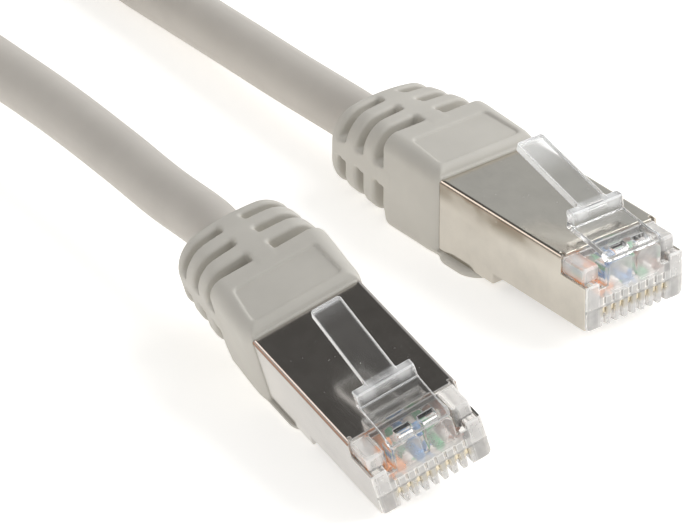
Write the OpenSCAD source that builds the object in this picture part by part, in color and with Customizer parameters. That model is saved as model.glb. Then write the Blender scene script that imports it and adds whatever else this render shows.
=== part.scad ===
// Shielded patch cable: two eight-way modular plugs with moulded boots on one round cable.
// Millimetres, +Z up. The cable lies on the plane z = 0. Both plugs are drawn in a plug frame,
// x forward out of the nose, y across, z up to the latch side, and then laid in place.

/* [Plug] */
// Width over the metal shield
plug_w = 11.68; // [11.6:0.02:11.8]
// Height of the shield's top above the underside of the nose
plug_h = 6.58; // [6.5:0.02:6.7]
// Thickness of the shield's sheet metal
sheet_t = 0.3; // [0.25:0.05:0.3]
// Setback of the shield's top plate from the nose
top_setback = 3.83; // [3.7:0.01:3.9]
// Height of the forward step in the shield's side plates
side_step = 4.64; // [4.5:0.02:4.7]
// Spacing of the contacts
contact_pitch = 1.02; // [1.0:0.01:1.02]
// Thickness of a contact blade
blade_t = 0.32; // [0.26:0.02:0.34]
// Width of a contact slot
slot_w = 0.5; // [0.44:0.02:0.54]

/* [Latch] */
// Width of the latch at its shoulder
latch_w = 6.2; // [6.0:0.05:6.3]
// Width of the lever behind the shoulder
lever_w = 3.25; // [3.0:0.05:3.4]
// Distance of the shoulder behind the nose
shoulder_x = 6.25; // [6.1:0.05:6.4]
// Distance of the lever's tip behind the nose
tip_x = 15.7; // [15:0.1:16.2]
// Height of the lever's tip above the underside of the nose
tip_z = 11.87; // [11.5:0.01:12.2]

/* [Boot] */
// Width of the boot's block
boot_w = 12.6; // [12.4:0.1:13]
// Top of the boot's block above the underside of the nose
boot_top = 7.65; // [7.55:0.05:7.75]
// Rise of the block's top from its front to the strain relief
boot_rise = 0.3; // [0.2:0.05:0.35]
// Depth of the boot's underside below the nose
boot_drop = 1.7; // [1.6:0.1:1.8]
// Where the boot's front lip meets the shield
boot_front = 21.6; // [21.4:0.1:21.8]
// Where the block ends and the ribbed strain relief begins
boot_mid = 29.2; // [29.1:0.1:29.4]
// Where the strain relief ends on the cable
boot_tail = 39; // [38.8:0.1:39.2]
// Spacing of the flex slots
rib_pitch = 2.85; // [2.7:0.05:2.9]
// Width of a flex slot
rib_slot = 1.25; // [1.1:0.05:1.35]
// Width of the webs between the flex slots
rib_web = 2.2; // [2:0.05:2.4]

/* [Cable] */
// Outside diameter of the jacket
cable_d = 5.4; // [5.3:0.1:5.4]
// Wall of the jacket
jacket_wall = 0.6; // [0.5:0.05:0.6]
// Diameter of an insulated conductor
wire_d = 0.94; // [0.86:0.02:0.94]
// Diameter of a stranded copper core
core_d = 0.5; // [0.4:0.05:0.55]
// Height of the cable's axis above the underside of the nose
cable_z = 2.45; // [2.4:0.05:2.5]
// Radius of the inner turns of the stored coil, at the cable's axis
coil_r = 25.5; // [24.5:0.5:26]

/* [Hidden] */
$fn = 48;

// Where the two plugs lie. End b is rolled and dips its nose.
A_POS = [12.46, 17.1, 1.7];
B_POS = [24.93, -16.48, 2.08];
B_YAW = -9.55;
B_PITCH = 4.03;
B_ROLL = 17.56;

function laid_b(p) = let (
    y1 = p.y * cos(B_ROLL) - p.z * sin(B_ROLL),
    z1 = p.y * sin(B_ROLL) + p.z * cos(B_ROLL),
    x2 = p.x * cos(B_PITCH) + z1 * sin(B_PITCH),
    z2 = -p.x * sin(B_PITCH) + z1 * cos(B_PITCH))
  B_POS + [x2 * cos(B_YAW) - y1 * sin(B_YAW), x2 * sin(B_YAW) + y1 * cos(B_YAW), z2];

module at_a() translate(A_POS) children();
module at_b() translate(B_POS) rotate([B_ROLL, B_PITCH, B_YAW]) children();

// Derived sizes of the plug
in_w = plug_w - 2 * sheet_t - 0.04;
in_top = plug_h - sheet_t - 0.02;
step_x = 13.7;
rear_floor = -1.08;
wire_z = 3.4;
can_rear = 24;
hinge_x = -0.5;
hinge_z = 6.9;
hinge_r = 0.45;
cable_r = cable_d / 2;
NOSE_END = -1.1;
KNEE_1 = -5.5;
KNEE_2 = -10;
KNEE_3 = -16;
WIRE_REAR = -38;

// A block from x0 to x1 and z0 to z1, w wide about y = yc
module block(x0, x1, w, z0, z1, yc = 0)
  translate([x0, yc - w / 2, z0]) cube([x1 - x0, w, z1 - z0]);

// A rounded rectangle, w by h, its lower edge at y = y0
module rounded(w, h, r, y0) translate([-w / 2, y0]) union() {
  translate([r, 0]) square([w - 2 * r, h]);
  translate([0, r]) square([w, h - 2 * r]);
  for (x = [r, w - r], y = [r, h - r]) translate([x, y]) circle(r);
}

// Turns a flat shape drawn in y and z into a bar along +x from x0 to x1
module along_x(x0, x1) translate([x0, 0, 0]) rotate([90, 0, 90]) linear_extrude(x1 - x0) children();

// Turns a side profile drawn in x and z into a bar w wide across y
module across_y(w, yc = 0) translate([0, yc, 0]) rotate([90, 0, 0]) linear_extrude(w, center = true) children();

function contact_y(i) = (i - 3.5) * contact_pitch;

// Clear housing: body inside the can, comb of contact slots, ears and the two hinge bosses
module housing() color([0.88, 0.90, 0.90, 0.45]) difference() {
  union() {
    block(-21, -step_x - sheet_t - 0.03, in_w, rear_floor + sheet_t + 0.03, in_top);
    block(-step_x - sheet_t - 0.1, -3.9, in_w, 0, in_top);
    block(-4, -0.2, in_w, 0, side_step);
    along_x(-0.26, 0) rounded(plug_w, side_step + 0.1, 0.46, 0);
    for (s = [-1, 1]) block(-4, -1, in_w / 2 - 3.6, 4, 6.2, s * (in_w / 4 + 1.8));
    block(-4, -1.9, 7.3, 4, 5.6);
    block(-2, -0.3, 6.6, 4, 6.1);
    for (s = [-1, 1]) block(-0.8, 0, 2.9, 4, 6.6, s * 1.7);
  }
  // cavity for the jacket, then for the fanned wires, then a flat channel for the row of wires
  block(-21.1, -step_x - sheet_t, 8.6, -0.35, 5.4);
  block(-step_x - sheet_t - 0.1, KNEE_1 + 0.2, 8.4, 0.6, 4.6);
  block(KNEE_1 - 0.1, NOSE_END + 0.05, 8.4, wire_z - 0.5, wire_z + 0.5);
  // slots that hold the contact blades, open at the nose and underneath
  for (i = [0 : 7]) {
    block(-6.6, -0.35, slot_w, -0.1, wire_z - 0.4, contact_y(i));
    block(-0.4, 0.1, slot_w, -0.1, 2, contact_y(i));
  }
  // seat for the latch's root
  translate([hinge_x, 0, hinge_z]) rotate([90, 0, 0]) cylinder(r = hinge_r + 0.05, h = 8, center = true);
}

// Latch: root roll on the hinge axis, thin spring plate with two windows, shoulder bar and lever
module latch() color([0.90, 0.92, 0.92, 0.45]) difference() {
  union() {
    translate([hinge_x, 0, hinge_z]) rotate([90, 0, 0]) cylinder(r = hinge_r, h = latch_w, center = true);
    across_y(latch_w) polygon([[hinge_x, 6.65], [hinge_x, 7.28], [-shoulder_x, 8], [-shoulder_x, 7.42]]);
    across_y(latch_w) polygon([[-5.4, 7.5], [-5.6, 9], [-6, 9.3], [-shoulder_x - 0.1, 9.3], [-shoulder_x - 0.1, 7.45]]);
    across_y(lever_w) polygon([[-6, 8.3], [-6, 9.3], [-tip_x, tip_z], [-tip_x - 0.1, tip_z - 0.6], [-tip_x + 0.2, tip_z - 0.9]]);
  }
  for (s = [-1, 1]) block(-1.75, -0.8, 1.9, 6, 8, s * 1.45);
}

// Contacts: eight blades, each with a rounded front corner and two insulation-piercing points
module contacts() color("gold") for (i = [0 : 7])
  across_y(blade_t, contact_y(i)) union() {
    translate([-6.2, 1]) square([5.3, 1.95]);
    translate([-0.9, 1.5]) square([0.5, 1.45]);
    translate([-0.9, 1.5]) circle(0.5);
    for (x = [-5.2, -2.9]) polygon([[x - 0.35, 2.9], [x + 0.35, 2.9], [x, 3.5]]);
  }

// Shield: folded can with stepped side plates, a deeper rear and a crimp ring on the cable
module shield() color([0.78, 0.76, 0.72]) difference() {
  union() {
    block(-can_rear, -top_setback, plug_w, plug_h - sheet_t, plug_h);
    block(-can_rear, -step_x, plug_w, rear_floor, rear_floor + sheet_t);
    block(-step_x - sheet_t, -step_x, plug_w - sheet_t, rear_floor, -0.03);
    for (s = [-1, 1]) across_y(sheet_t, s * (plug_w - sheet_t) / 2)
      polygon([[-can_rear, rear_floor], [-step_x, rear_floor], [-step_x, 0.05], [-0.28, 0.05],
        [-0.28, side_step], [-top_setback, side_step], [-top_setback, plug_h], [-can_rear, plug_h]]);
    block(-30.2, -can_rear + 0.1, 3, rear_floor, -0.5);
    translate([-30.2, 0, cable_z]) rotate([0, 90, 0]) cylinder(r = 3.2, h = 3.2);
  }
  translate([-31, 0, cable_z]) rotate([0, 90, 0]) cylinder(r = cable_r + 0.04, h = 6.5);
  for (s = [-1, 1]) block(-top_setback - 0.45, -top_setback + 0.1, 0.35, plug_h - 0.5, plug_h + 0.1, s * (plug_w / 2 - 0.5));
}

// Outline of the boot across the cable
module boot_outline(w, z0, z1, r) rounded(w, z1 - z0, r, z0);

// The same with a tighter radius at its foot
module block_outline(w, z0, z1, foot, crown) union() {
  translate([-w / 2, z0 + foot]) square([w, z1 - z0 - foot - crown]);
  translate([foot - w / 2, z0]) square([w - 2 * foot, 3]);
  translate([crown - w / 2, z1 - 3]) square([w - 2 * crown, 3]);
  for (s = [-1, 1]) {
    translate([s * (w / 2 - foot), z0 + foot]) circle(foot);
    translate([s * (w / 2 - crown), z1 - crown]) circle(crown);
  }
}

// Boot: block with a recessed panel, tongue under the can, and a ribbed strain relief
module boot() color([0.73, 0.72, 0.68]) difference() {
  union() {
    hull() {
      along_x(-boot_mid, -boot_mid + 0.05) block_outline(boot_w, -boot_drop, boot_top + boot_rise, 0.7, 1.7, $fn = 32);
      along_x(-boot_front - 0.05, -boot_front) block_outline(boot_w, -boot_drop, boot_top, 0.7, 1.7, $fn = 32);
    }
    translate([0, 0, -boot_drop]) linear_extrude(boot_drop + rear_floor - 0.04) union() {
      translate([-boot_front - 0.5, -5.65]) square([boot_front + 0.5 - 18, 11.3]);
      translate([-18.1, -3.35]) square([2.4, 6.7]);
      for (s = [-1, 1]) translate([-18, s * 3.35]) circle(2.3);
    }
    hull() {
      along_x(-boot_mid - 0.05, -boot_mid) boot_outline(12.6, -1.65, boot_top + boot_rise, 2.2, $fn = 32);
      along_x(-boot_tail + 1.4, -boot_tail + 1.45) boot_outline(12, -1.2, 7, 2.8, $fn = 32);
      along_x(-boot_tail, -boot_tail + 0.05) boot_outline(10.2, -0.3, 6, 2.4, $fn = 32);
    }
  }
  // recessed panel on top, sloping with the block
  hull() for (x = [-27.4, -23])
    block(x - 0.05, x, 9.1, boot_top - 0.24 + boot_rise * (-x - boot_front) / (boot_mid - boot_front), boot_top + 1);
  // pockets for the can, its tongue and crimp ring, and the bore for the cable
  block(-can_rear - 0.05, -boot_front + 0.1, plug_w + 0.08, rear_floor - 0.04, plug_h + 0.04);
  block(-30.3, -can_rear, 3.1, rear_floor - 0.04, -0.4);
  translate([-30.3, 0, cable_z]) rotate([0, 90, 0]) cylinder(r = 3.25, h = 6.5);
  translate([-boot_tail - 1, 0, cable_z]) rotate([0, 90, 0]) cylinder(r = cable_r + 0.03, h = 16);
  // flex slots round each corner, with webs left at the middle of every side
  for (k = [0 : 2]) translate([-boot_mid - 0.65 - k * rib_pitch, 0, 0]) difference() {
    block(-rib_slot, 0, 20, -6, 12);
    along_x(-2, 1) rounded(9.2, 7, 2, -0.5);
    block(-2, 1, rib_web, -7, 13);
    block(-2, 1, 21, 2.65, 4.5);
  }
}

// End of the cable inside the boot and the can
module jacket_end() color([0.72, 0.70, 0.66]) translate([-boot_tail, 0, cable_z]) rotate([0, 90, 0])
  difference() {
    cylinder(r = cable_r, h = boot_tail - 18.5);
    translate([0, 0, -1]) cylinder(r = cable_r - jacket_wall, h = 40);
  }

// Foil screen under the jacket, reaching out of its cut end
module foil_screen() color([0.80, 0.81, 0.83]) translate([WIRE_REAR, 0, cable_z]) rotate([0, 90, 0])
  difference() {
    cylinder(r = cable_r - jacket_wall - 0.02, h = -WIRE_REAR - 17);
    translate([0, 0, -1]) cylinder(r = cable_r - jacket_wall - 0.1, h = 40);
  }

// Bare drain wire along the middle of the bundle
module drain_wire() color([0.75, 0.75, 0.74]) translate([WIRE_REAR, 0, cable_z]) rotate([0, 90, 0])
  cylinder(d = 0.5, h = -WIRE_REAR - 15, $fn = 24);

// Where wire i lies in the cable, from the cable's axis
RING_Y = [-1.28, -1.28, -0.51, -0.51, 0.51, 0.51, 1.28, 1.28];
RING_Z = [0.53, -0.53, 1.28, -1.28, 1.28, -1.28, 0.53, -0.53];

// Route of conductor i: flat in the nose, sorted up or down, then gathered into the cable
function ease(t) = t * t * (3 - 2 * t);
function wire_route(i) = let (y0 = contact_y(i), y1 = RING_Y[i], z1 = cable_z + RING_Z[i]) concat(
  [[NOSE_END, y0, wire_z]],
  [for (k = [0 : 4]) [KNEE_1 + (KNEE_2 - KNEE_1) * k / 4, y0, wire_z + (z1 - wire_z) * ease(k / 4)]],
  [for (k = [1 : 4]) [KNEE_2 + (KNEE_3 - KNEE_2) * k / 4, y0 + (y1 - y0) * ease(k / 4), z1]],
  [[WIRE_REAR, y1, z1]]);

// Insulation of conductor i, with a blind bore for its core in the nose
module wire(i, c) color(c) bored_tube(wire_route(i), wire_d / 2, core_d / 2 + 0.04, 4.2, 8);

// Copper cores of the eight conductors, where the contacts bite into them
module wire_cores() color([0.80, 0.50, 0.33]) for (i = [0 : 7])
  translate([NOSE_END - 4.15, contact_y(i), wire_z]) rotate([0, 90, 0]) cylinder(d = core_d, h = 4.15, $fn = 24);

WIRE_COLOURS = [[0.93, 0.80, 0.72], [0.90, 0.40, 0.18], [0.80, 0.88, 0.80], [0.20, 0.38, 0.65],
  [0.78, 0.83, 0.90], [0.20, 0.52, 0.30], [0.86, 0.80, 0.76], [0.45, 0.30, 0.22]];

// Stored coil and the routes of the two leads to it
COIL_C = [-112, 7.7];
COIL_LIFT = 0.6;
A_TAIL = A_POS + [-boot_tail, 0, cable_z];
B_TAIL = laid_b([-boot_tail, 0, cable_z]);
B_NEXT = laid_b([-boot_tail - 4, 0, cable_z]);
LEAD_A = [A_TAIL, A_TAIL - [5, 0, 0], [-40, 17.4, 3.8], [-48, 17.8, 3.5], [-60, 18.5, 3.3],
  [-67, 18.8, 3.3], [-73.3, 19.5, 3.3], [-79.3, 21.4, 3.3], [-84.7, 24.5, 3.3], [-89.2, 28.6, 3.3]];
LEAD_B = [B_TAIL, B_NEXT, [-25.2, -9.1, 6.9], [-33.7, -8, 6.9], [-44.4, -7.1, 6.9], [-54.4, -6.9, 7],
  [-63, -6.9, 7.4], [-70.5, -6.9, 7.9], [-76.2, -7.4, 8.3], [-81.8, -9.1, 8.6], [-86.9, -11.7, 8.7], [-91, -14.9, 8.7]];

// Sweeps a tube with n sides along a list of points
function unit(v) = v / norm(v);
function heading(p, i) = unit(p[min(i + 1, len(p) - 1)] - p[max(i - 1, 0)]);
function tube_points(p, r, n) = [for (i = [0 : len(p) - 1]) let (
    t = heading(p, i), s = unit(cross(t, [0, 0, 1])), u = cross(s, t))
  for (k = [0 : n - 1]) p[i] + r * (s * cos(360 * k / n) + u * sin(360 * k / n))];
function tube_faces(m, n) = concat(
  [[for (k = [0 : n - 1]) k]],
  [for (i = [0 : m - 2], k = [0 : n - 1]) let (l = (k + 1) % n)
    [i * n + k, (i + 1) * n + k, (i + 1) * n + l, i * n + l]],
  [[for (k = [0 : n - 1]) (m - 1) * n + n - 1 - k]]);
module tube(p, r, n) polyhedron(tube_points(p, r, n), tube_faces(len(p), n), convexity = 4);

// The same tube with a blind bore, depth deep, in its first end
module bored_tube(p, r, bore, depth, n) let (m = len(p), b = m * n, f = tube_faces(m, n))
  polyhedron(
    concat(tube_points(p, r, n), tube_points([p[0], p[0] + depth * heading(p, 0)], bore, n)),
    concat([for (j = [1 : len(f) - 1]) f[j]],
      [for (k = [0 : n - 1]) let (l = (k + 1) % n) [k, l, b + l, b + k]],
      [for (k = [0 : n - 1]) let (l = (k + 1) % n) [b + k, b + l, b + n + l, b + n + k]],
      [[for (k = [0 : n - 1]) b + n + k]]),
    convexity = 4);

// Free leads of the cable, from each boot to the coil
module cable_lead(p) color([0.72, 0.70, 0.66]) tube(p, cable_r, 10);

// Outer shape of the coiled length: two turns wide and three high
module cable_coil() color([0.72, 0.70, 0.66]) translate([COIL_C.x, COIL_C.y, 0])
  rotate_extrude($fn = 96) translate([coil_r + cable_r, 0])
    rounded(2 * cable_d, 3 * cable_d, 1.5, COIL_LIFT);

// Strap tie round the bundle of turns
module coil_tie() color([0.55, 0.55, 0.54]) translate([COIL_C.x - coil_r - cable_r, COIL_C.y, 0])
  rotate([90, 0, 0]) linear_extrude(6, center = true) difference() {
    rounded(2 * cable_d + 1.2, 3 * cable_d + 1.2, 2.1, 0);
    rounded(2 * cable_d, 3 * cable_d, 1.5, COIL_LIFT);
  }

at_a() housing();  // end_a_housing
at_a() latch();  // end_a_latch
at_a() contacts();  // end_a_contacts
at_a() shield();  // end_a_shield
at_a() boot();  // end_a_boot
at_a() jacket_end();  // end_a_jacket_end
at_a() foil_screen();  // end_a_foil_screen
at_a() drain_wire();  // end_a_drain_wire
at_a() wire_cores();  // end_a_wire_cores
at_a() wire(0, WIRE_COLOURS[0]);  // end_a_wire_white_orange
at_a() wire(1, WIRE_COLOURS[1]);  // end_a_wire_orange
at_a() wire(2, WIRE_COLOURS[2]);  // end_a_wire_white_green
at_a() wire(3, WIRE_COLOURS[3]);  // end_a_wire_blue
at_a() wire(4, WIRE_COLOURS[4]);  // end_a_wire_white_blue
at_a() wire(5, WIRE_COLOURS[5]);  // end_a_wire_green
at_a() wire(6, WIRE_COLOURS[6]);  // end_a_wire_white_brown
at_a() wire(7, WIRE_COLOURS[7]);  // end_a_wire_brown
at_b() housing();  // end_b_housing
at_b() latch();  // end_b_latch
at_b() contacts();  // end_b_contacts
at_b() shield();  // end_b_shield
at_b() boot();  // end_b_boot
at_b() jacket_end();  // end_b_jacket_end
at_b() foil_screen();  // end_b_foil_screen
at_b() drain_wire();  // end_b_drain_wire
at_b() wire_cores();  // end_b_wire_cores
at_b() wire(0, WIRE_COLOURS[0]);  // end_b_wire_white_orange
at_b() wire(1, WIRE_COLOURS[1]);  // end_b_wire_orange
at_b() wire(2, WIRE_COLOURS[2]);  // end_b_wire_white_green
at_b() wire(3, WIRE_COLOURS[3]);  // end_b_wire_blue
at_b() wire(4, WIRE_COLOURS[4]);  // end_b_wire_white_blue
at_b() wire(5, WIRE_COLOURS[5]);  // end_b_wire_green
at_b() wire(6, WIRE_COLOURS[6]);  // end_b_wire_white_brown
at_b() wire(7, WIRE_COLOURS[7]);  // end_b_wire_brown
cable_lead(LEAD_A);  // cable_lead_a
cable_lead(LEAD_B);  // cable_lead_b
cable_coil();
coil_tie();
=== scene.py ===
"""Looks for the ethernet patch cable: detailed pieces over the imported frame, lit as a product shot."""

import math

import bpy
import numpy as np
from mathutils import Matrix, Vector


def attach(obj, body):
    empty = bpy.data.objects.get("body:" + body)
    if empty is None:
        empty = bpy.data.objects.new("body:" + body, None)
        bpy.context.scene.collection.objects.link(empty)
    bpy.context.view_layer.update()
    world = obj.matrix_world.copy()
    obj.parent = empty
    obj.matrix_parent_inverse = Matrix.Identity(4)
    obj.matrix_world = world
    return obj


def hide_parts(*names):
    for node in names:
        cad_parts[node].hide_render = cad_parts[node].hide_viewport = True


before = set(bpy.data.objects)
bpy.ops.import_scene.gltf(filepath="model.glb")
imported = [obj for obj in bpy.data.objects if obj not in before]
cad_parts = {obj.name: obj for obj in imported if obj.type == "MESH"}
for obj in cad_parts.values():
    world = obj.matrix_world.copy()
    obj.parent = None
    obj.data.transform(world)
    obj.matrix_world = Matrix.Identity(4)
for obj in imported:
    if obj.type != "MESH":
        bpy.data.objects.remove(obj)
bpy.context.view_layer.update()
scene = bpy.context.scene
MM = 0.001

# ---------------------------------------------------------------- where the plugs lie
A_POS = np.array([12.46, 17.10, 1.70])
B_POS = np.array([24.93, -16.48, 2.08])
B_TURN = (17.56, 4.03, -9.55)  # roll, pitch, yaw in degrees
ROLL, PITCH, YAW = (math.radians(a) for a in B_TURN)
PLACE_A = Matrix.Translation(Vector(A_POS * MM))
PLACE_B = Matrix.Translation(Vector(B_POS * MM)) @ (
    Matrix.Rotation(YAW, 4, "Z") @ Matrix.Rotation(PITCH, 4, "Y") @ Matrix.Rotation(ROLL, 4, "X"))
ROOT = "cable_and_plugs"

BOOT_TAIL = -39.0
CABLE_Z = 2.45
CABLE_R = 2.7
PITCH_Y = 1.02


def contact_y(i):
    return (i - 3.5) * PITCH_Y


def laid(place, p):
    return np.array(place @ Vector((p[0] * MM, p[1] * MM, p[2] * MM))) / MM


# ---------------------------------------------------------------- camera
AZ, EL, FAR = math.radians(51.57), math.radians(30.62), 822.6
TARGET = np.array([-6.89, -1.375, 4.70])
BACK = np.array([math.sin(AZ) * math.cos(EL), -math.cos(AZ) * math.cos(EL), math.sin(EL)])
cam_data = bpy.data.cameras.new("camera")
cam_data.sensor_fit = "HORIZONTAL"
cam_data.sensor_width = 36.0
cam_data.lens = 8804.8 * 36.0 / 700.0
cam_data.clip_start, cam_data.clip_end = 0.05, 20.0
cam = bpy.data.objects.new("camera", cam_data)
scene.collection.objects.link(cam)
cam.location = Vector((TARGET + BACK * FAR) * MM)
cam.rotation_euler = Vector(-BACK).to_track_quat("-Z", "Y").to_euler()
scene.camera = cam


# ---------------------------------------------------------------- node helpers
def new_material(name):
    m = bpy.data.materials.new(name)
    m.use_nodes = True
    nt = m.node_tree
    nt.nodes.clear()
    out = nt.nodes.new("ShaderNodeOutputMaterial")
    bsdf = nt.nodes.new("ShaderNodeBsdfPrincipled")
    nt.links.new(bsdf.outputs[0], out.inputs[0])
    return m, nt, bsdf, out


def coords(nt, scale=(1000.0, 1000.0, 1000.0)):
    """Object coordinates in millimetres, stretched if wanted."""
    tc = nt.nodes.new("ShaderNodeTexCoord")
    mp = nt.nodes.new("ShaderNodeMapping")
    mp.inputs["Scale"].default_value = scale
    nt.links.new(tc.outputs["Object"], mp.inputs["Vector"])
    return mp.outputs[0]


def noise(nt, vec, scale, detail=3.0, rough=0.55):
    n = nt.nodes.new("ShaderNodeTexNoise")
    n.inputs["Scale"].default_value = scale
    n.inputs["Detail"].default_value = detail
    n.inputs["Roughness"].default_value = rough
    nt.links.new(vec, n.inputs["Vector"])
    return n.outputs["Fac"]


def ramp(nt, fac, stops):
    r = nt.nodes.new("ShaderNodeValToRGB")
    e = r.color_ramp.elements
    while len(e) < len(stops):
        e.new(0.5)
    for el, (pos, col) in zip(e, stops):
        el.position = pos
        el.color = (*col, 1.0) if len(col) == 3 else col
    nt.links.new(fac, r.inputs[0])
    return r.outputs[0]


def remap(nt, fac, a, b, lo=0.3, hi=0.7):
    r = nt.nodes.new("ShaderNodeMapRange")
    r.inputs["From Min"].default_value = lo
    r.inputs["From Max"].default_value = hi
    r.inputs["To Min"].default_value = a
    r.inputs["To Max"].default_value = b
    nt.links.new(fac, r.inputs[0])
    return r.outputs[0]


def mix_rgb(nt, fac, a, b, mode="MIX"):
    m = nt.nodes.new("ShaderNodeMix")
    m.data_type = "RGBA"
    m.blend_type = mode
    for sock, v in ((m.inputs[0], fac), (m.inputs[6], a), (m.inputs[7], b)):
        if isinstance(v, (int, float)):
            sock.default_value = v
        elif isinstance(v, tuple):
            sock.default_value = (*v, 1.0)
        else:
            nt.links.new(v, sock)
    return m.outputs[2]


def math_node(nt, op, a, b=None):
    m = nt.nodes.new("ShaderNodeMath")
    m.operation = op
    for sock, v in zip(m.inputs, (a, b)):
        if v is None:
            continue
        if isinstance(v, (int, float)):
            sock.default_value = v
        else:
            nt.links.new(v, sock)
    return m.outputs[0]


def bump(nt, bsdf, height, strength, distance):
    b = nt.nodes.new("ShaderNodeBump")
    b.inputs["Strength"].default_value = strength
    b.inputs["Distance"].default_value = distance
    nt.links.new(height, b.inputs["Height"])
    nt.links.new(b.outputs[0], bsdf.inputs["Normal"])


def scaled(c, k):
    return tuple(min(1.0, v * k) for v in c)


# ---------------------------------------------------------------- materials
def vinyl(name, base, grain=9.0, depth=0.00002, rough=(0.52, 0.66)):
    """Soft moulded vinyl: slight mottling, fine matt grain."""
    m, nt, b, _ = new_material(name)
    v = coords(nt)
    broad = noise(nt, v, 0.16, 3.0)
    fine = noise(nt, v, grain, 4.0, 0.65)
    tint = ramp(nt, broad, [(0.30, scaled(base, 0.95)), (0.52, base), (0.74, scaled(base, 1.045))])
    nt.links.new(tint, b.inputs["Base Color"])
    nt.links.new(remap(nt, fine, *rough), b.inputs["Roughness"])
    b.inputs["Specular IOR Level"].default_value = 0.42
    b.inputs["Subsurface Weight"].default_value = 0.05
    b.inputs["Subsurface Radius"].default_value = (1.0, 0.85, 0.7)
    b.inputs["Subsurface Scale"].default_value = 0.0006
    bump(nt, b, fine, 0.22, depth)
    return m


def nickel(name, tone, copper, painted_reflection_strength):
    """Nickel-plated sheet: rolling grain along the plug, smudges, painted dark reflections in blots below the folds,
    and copper showing along them.
    """
    m, nt, b, _ = new_material(name)
    v = coords(nt)
    grain = noise(nt, coords(nt, (60.0, 5200.0, 5200.0)), 1.0, 3.0, 0.6)
    smudge = noise(nt, v, 0.33, 4.0, 0.6)
    tint = ramp(nt, smudge, [(0.30, scaled(tone, 0.94)), (0.50, tone), (0.72, scaled(tone, 1.05))])
    # Painted dark reflection: below the folds the sheet is mixed toward dark brown in noisy blots, standing in for what
    # the sides mirror.
    at = nt.nodes.new("ShaderNodeAttribute")
    at.attribute_name = "under_fold"
    reflection_blot = noise(nt, coords(nt, (260.0, 1000.0, 420.0)), 1.0, 1.5, 0.5)
    painted_reflection = math_node(nt, "MULTIPLY", at.outputs["Fac"], remap(nt, reflection_blot, 0.5 * painted_reflection_strength, painted_reflection_strength, 0.38, 0.62))
    tint = mix_rgb(nt, painted_reflection, tint, (0.25, 0.21, 0.16))
    at = nt.nodes.new("ShaderNodeAttribute")
    at.attribute_name = "fold"
    tint = mix_rgb(nt, math_node(nt, "MULTIPLY", at.outputs["Fac"], copper), tint, (0.26, 0.135, 0.08))
    fleck = noise(nt, v, 2.6, 2.0, 0.5)
    tint = mix_rgb(nt, remap(nt, fleck, 0.0, 0.55, 0.735, 0.80), tint, (0.86, 0.84, 0.80))
    nt.links.new(tint, b.inputs["Base Color"])
    b.inputs["Metallic"].default_value = 1.0
    worn = math_node(nt, "ADD", remap(nt, grain, 0.00, 0.04), remap(nt, smudge, 0.13, 0.17))
    worn = math_node(nt, "ADD", worn, remap(nt, fleck, 0.0, 0.35, 0.735, 0.80))
    nt.links.new(worn, b.inputs["Roughness"])
    bump(nt, b, grain, 0.05, 0.000006)
    return m


def gold(name):
    m, nt, b, _ = new_material(name)
    v = coords(nt)
    n = noise(nt, v, 3.0, 3.0)
    nt.links.new(ramp(nt, n, [(0.3, (0.61, 0.535, 0.395)), (0.55, (0.705, 0.632, 0.485)), (0.8, (0.795, 0.73, 0.595))]), b.inputs["Base Color"])
    b.inputs["Metallic"].default_value = 1.0
    nt.links.new(remap(nt, n, 0.18, 0.34), b.inputs["Roughness"])
    bump(nt, b, noise(nt, v, 18.0, 3.0), 0.06, 0.00001)
    return m


def metal(name, lo, hi, rough, stretch=(300.0, 1500.0, 1500.0)):
    m, nt, b, _ = new_material(name)
    n = noise(nt, coords(nt, stretch), 1.0, 3.0)
    nt.links.new(ramp(nt, n, [(0.3, lo), (0.7, hi)]), b.inputs["Base Color"])
    b.inputs["Metallic"].default_value = 1.0
    nt.links.new(remap(nt, n, rough - 0.06, rough + 0.08), b.inputs["Roughness"])
    bump(nt, b, n, 0.15, 0.00002)
    return m


def insulation(name, base, stripe=None, band=(0.60, 0.72)):
    """Smooth wire insulation, faintly mottled; the pale ones carry a coloured band that winds round."""
    m, nt, b, _ = new_material(name)
    v = coords(nt)
    n = noise(nt, v, 1.4, 3.0)
    tint = ramp(nt, n, [(0.3, scaled(base, 0.92)), (0.7, scaled(base, 1.05))])
    if stripe:
        w = nt.nodes.new("ShaderNodeTexWave")
        w.wave_type, w.bands_direction, w.wave_profile = "BANDS", "DIAGONAL", "SIN"
        w.inputs["Scale"].default_value = 0.16
        w.inputs["Distortion"].default_value = 0.6
        nt.links.new(v, w.inputs["Vector"])
        tint = mix_rgb(nt, remap(nt, w.outputs["Fac"], 0.0, 1.0, *band), tint, stripe)
    nt.links.new(tint, b.inputs["Base Color"])
    nt.links.new(remap(nt, n, 0.28, 0.40), b.inputs["Roughness"])
    bump(nt, b, noise(nt, v, 8.0, 3.0), 0.05, 0.00001)
    return m


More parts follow.
